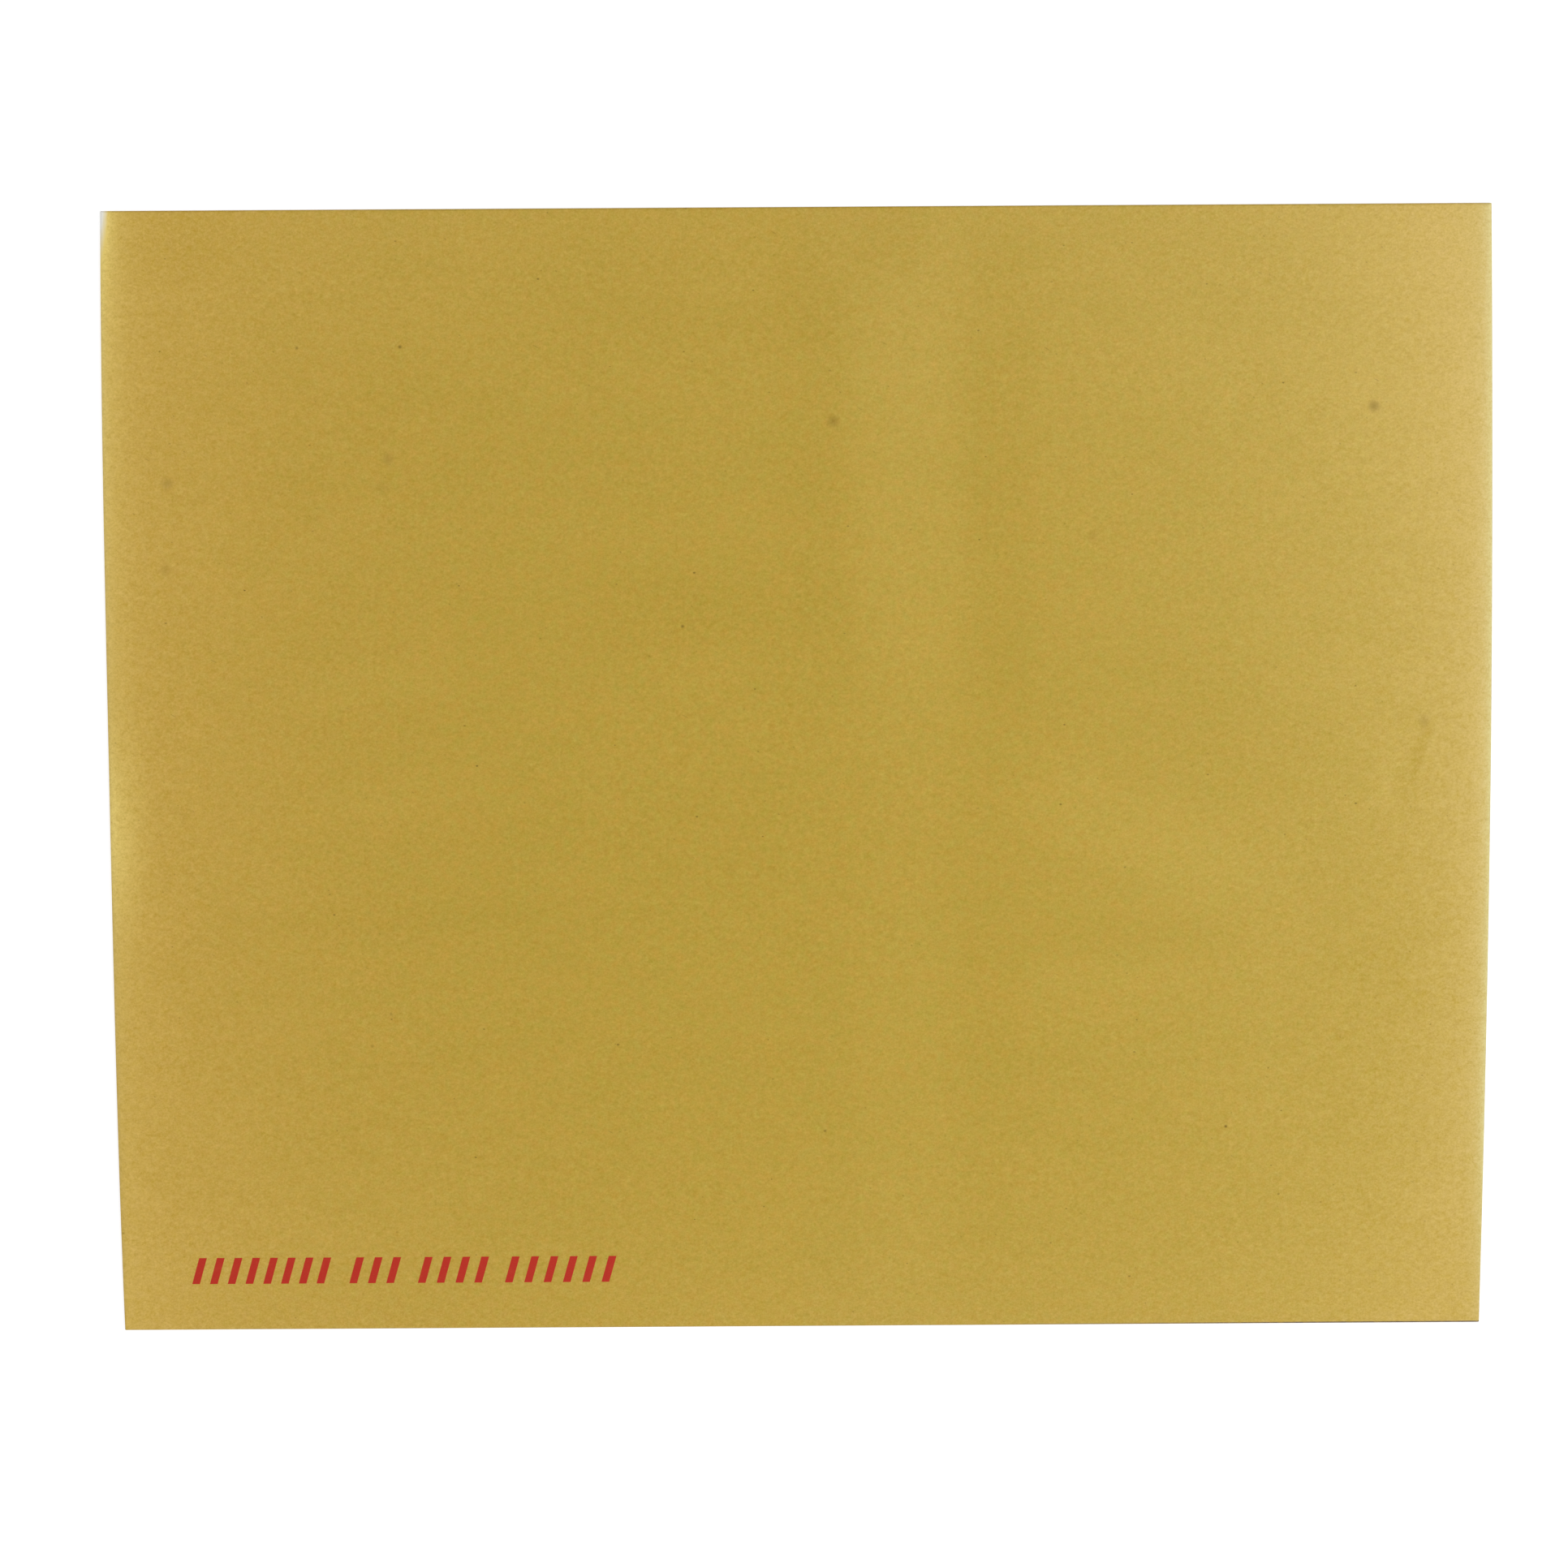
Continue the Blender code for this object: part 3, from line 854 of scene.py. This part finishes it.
# Chipboard back
boardLook = {
    "grey": (0.300, 0.252, 0.190, 1.0),
    "brown": (0.245, 0.195, 0.138, 1.0),
    "fibre": (0.420, 0.365, 0.290, 1.0),
    "dark": (0.075, 0.062, 0.055, 1.0),
    "ink": (0.090, 0.130, 0.260, 1.0),
    "fibreAmount": 0.45,
    "darkAmount": 0.50,
    "speckAmount": 0.6,
    "fibreTurns": ((0.2, 0.34), (1.1, 0.26), (-0.7, 0.26)),
    "pulpTone": 0.34,
    "grainTone": 0.40,
    "roughness": 0.86,
    "grainDepth": 0.06 * mm,
}


def chipboard():
    look = boardLook
    material, web = newMaterial("chipboard")
    place = web.make("ShaderNodeTexCoord").out("Object")
    cloud = web.noise(place, 90, 4.0, 0.65)
    pulp = web.noise(place, 700, 4.0, 0.7)
    grain = web.noise(place, 2600, 2.0, 0.6, shift=2.0)
    colour = web.mix(cloud.ramp(0.3, 0.75, 0.15, 0.75), look["grey"], look["brown"])
    for turn, share in look["fibreTurns"]:
        light = web.flecks(place, 260, 0.9 * mm, share, stretch=(0.35, 2.6, 1.0), shift=turn, turn=turn)
        dark = web.flecks(place, 240, 0.8 * mm, share, stretch=(0.35, 2.8, 1.0), shift=5.0 + turn, turn=-turn)
        colour = web.mix(look["fibreAmount"] * light, colour, look["fibre"])
        colour = web.mix(look["darkAmount"] * dark, colour, look["dark"])
    specks = web.flecks(place, 300, 0.35 * mm, 0.30, shift=0.5)
    ink = web.flecks(place, 120, 0.55 * mm, 0.05, stretch=(0.6, 1.0, 1.0), shift=4.2)
    colour = web.mix(look["speckAmount"] * specks, colour, look["dark"])
    colour = web.mix(look["speckAmount"] * ink, colour, look["ink"])
    tone = 1.0 + look["pulpTone"] * (pulp - 0.5) + look["grainTone"] * (grain - 0.5)
    shade = web.make("ShaderNodeCombineColor", {}, {0: tone, 1: tone, 2: tone}).out()
    colour = web.mix(1.0, colour, shade, "MULTIPLY")
    roughness = look["roughness"] + 0.1 * (pulp - 0.5)
    finishMaterial(web, colour, roughness, pulp + 0.4 * grain, look["grainDepth"], 0.7)
    return material


# Glue lines, self-seal band and its liner
strips = [
    {
        "name": "dryGum",
        "nodes": ("seam_glue_upper", "seam_glue_lower", "end_glue"),
        "thin": (0.62, 0.56, 0.42, 1.0),
        "thick": (0.50, 0.43, 0.30, 1.0),
        "scale": 220,
        "roughness": 0.40,
        "depth": 0.05 * mm,
    },
    {
        "name": "hotMelt",
        "nodes": ("seal_adhesive",),
        "thin": (0.72, 0.66, 0.50, 1.0),
        "thick": (0.62, 0.54, 0.36, 1.0),
        "scale": 160,
        "roughness": 0.25,
        "depth": 0.04 * mm,
    },
    {
        "name": "linerPaper",
        "nodes": ("release_liner",),
        "thin": (0.80, 0.80, 0.77, 1.0),
        "thick": (0.72, 0.73, 0.71, 1.0),
        "scale": 500,
        "roughness": 0.42,
        "depth": 0.02 * mm,
    },
]


def filmMaterial(strip):
    # a thin coat with streaks along its length
    material, web = newMaterial(strip["name"])
    place = web.make("ShaderNodeTexCoord").out("Object")
    streak = web.noise(place, strip["scale"], 3.0, 0.6, stretch=(1.4, 0.5, 1.0))
    fine = web.noise(place, strip["scale"] * 4, 2.0, 0.6)
    colour = web.mix(streak.ramp(0.35, 0.7), strip["thin"], strip["thick"])
    roughness = strip["roughness"] + 0.15 * (fine - 0.5)
    finishMaterial(web, colour, roughness, streak + 0.4 * fine, strip["depth"], 0.6)
    return material


def paintNode(name, material):
    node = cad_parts[name]
    for slot in node.material_slots:
        slot.material = material


def dressNodes():
    paintNode("back_board", chipboard())
    for strip in strips:
        material = filmMaterial(strip)
        for name in strip["nodes"]:
            paintNode(name, material)
    print("board, glue, seal band and liner painted")


# Floor, light and camera
stage = {
    "floorDrop": 0.05 * mm,
    "floorSize": 12.0,
    "floorBounce": 0.80,
    "floorSeen": 0.35,
    "floorGlow": 0.78,
    "worldLevel": 0.30,
}
lamps = [
    {"name": "rightSoftbox", "place": (1.5, 0.5, 0.9), "size": (0.9, 1.2), "power": 3.5},
    {"name": "leftSoftbox", "place": (-1.5, 0.2, 0.9), "size": (0.9, 1.2), "power": 8.8},
    {"name": "highSoftbox", "place": (0.7, 0.15, 1.2), "size": (0.4, 0.6), "power": 10.1},
    {"name": "frontSoftbox", "place": (0.2, -1.2, 0.9), "size": (1.0, 0.5), "power": 5.1},
]
view = {
    "distance": 2.869,
    "tilt": 12.41,
    "yaw": -0.04,
    "roll": -0.336,
    "aim": (-5.16 * mm, -3.45 * mm, 0.0),
    "lens": 204.86,
}


def seenDirectly(web):
    path = web.make("ShaderNodeLightPath")
    return (path.out("Is Camera Ray") + path.out("Is Glossy Ray") + path.out("Is Transmission Ray")).clamped()


def makeFloor():
    material, web = newMaterial("floorWhite")
    bounce = (stage["floorBounce"],) * 3 + (1.0,)
    seen = (stage["floorSeen"],) * 3 + (1.0,)
    plain = web.make("ShaderNodeBsdfDiffuse", {}, {"Color": bounce}).out()
    shadowed = web.make("ShaderNodeBsdfDiffuse", {}, {"Color": seen}).out()
    white = (1.0, 1.0, 1.0, 1.0)
    glow = web.make("ShaderNodeEmission", {}, {"Color": white, "Strength": stage["floorGlow"]}).out()
    lifted = web.make("ShaderNodeAddShader", {}, {0: shadowed, 1: glow}).out()
    both = web.make("ShaderNodeMixShader", {}, {0: seenDirectly(web), 1: plain, 2: lifted})
    web.make("ShaderNodeOutputMaterial", {}, {0: both.out()})
    bm = bmesh.new()
    bmesh.ops.create_grid(bm, x_segments=1, y_segments=1, size=stage["floorSize"] / 2)
    bmesh.ops.translate(bm, verts=bm.verts, vec=(0.0, 0.0, cadBox[0][2] - stage["floorDrop"]))
    mesh = bpy.data.meshes.new("floor")
    bm.to_mesh(mesh)
    bm.free()
    mesh.materials.append(material)
    floor = bpy.data.objects.new("floor", mesh)
    bpy.context.collection.objects.link(floor)


def makeWorld():
    world = bpy.data.worlds.new("studio")
    world.use_nodes = True
    bpy.context.scene.world = world
    web = Web(world.node_tree)
    level = (stage["worldLevel"],) * 3 + (1.0,)
    soft = web.make("ShaderNodeBackground", {}, {"Color": level}).out()
    white = web.make("ShaderNodeBackground", {}, {"Color": (1.0, 1.0, 1.0, 1.0)}).out()
    both = web.make("ShaderNodeMixShader", {}, {0: seenDirectly(web), 1: soft, 2: white})
    web.make("ShaderNodeOutputWorld", {}, {0: both.out()})


def makeLamps():
    for lamp in lamps:
        light = bpy.data.lights.new(lamp["name"], "AREA")
        light.shape = "RECTANGLE"
        light.size, light.size_y = lamp["size"]
        light.energy = lamp["power"]
        item = bpy.data.objects.new(lamp["name"], light)
        item.location = lamp["place"]
        item.rotation_euler = (-Vector(lamp["place"])).to_track_quat("-Z", "Y").to_euler()
        bpy.context.collection.objects.link(item)


def makeCamera():
    camera = bpy.data.cameras.new("camera")
    camera.lens = view["lens"]
    camera.sensor_width = 36.0
    camera.clip_end = 50.0
    tilt = math.radians(view["tilt"])
    yaw = math.radians(view["yaw"])
    away = Vector((math.sin(yaw) * math.cos(tilt), math.sin(tilt), math.cos(yaw) * math.cos(tilt)))
    item = bpy.data.objects.new("camera", camera)
    item.location = Vector(view["aim"]) + away * view["distance"]
    right = Vector((0.0, 1.0, 0.0)).cross(away).normalized()
    up = away.cross(right)
    turn = Matrix((right, up, away)).transposed() @ Matrix.Rotation(math.radians(view["roll"]), 3, "Z")
    item.rotation_euler = turn.to_euler()
    bpy.context.collection.objects.link(item)
    bpy.context.scene.camera = item


sheet = makeSheet(manilaPaper())
makeMarks(sheet, markingInk())
dressNodes()
makeFloor()
makeWorld()
makeLamps()
makeCamera()
bpy.context.scene.view_settings.view_transform = "Standard"
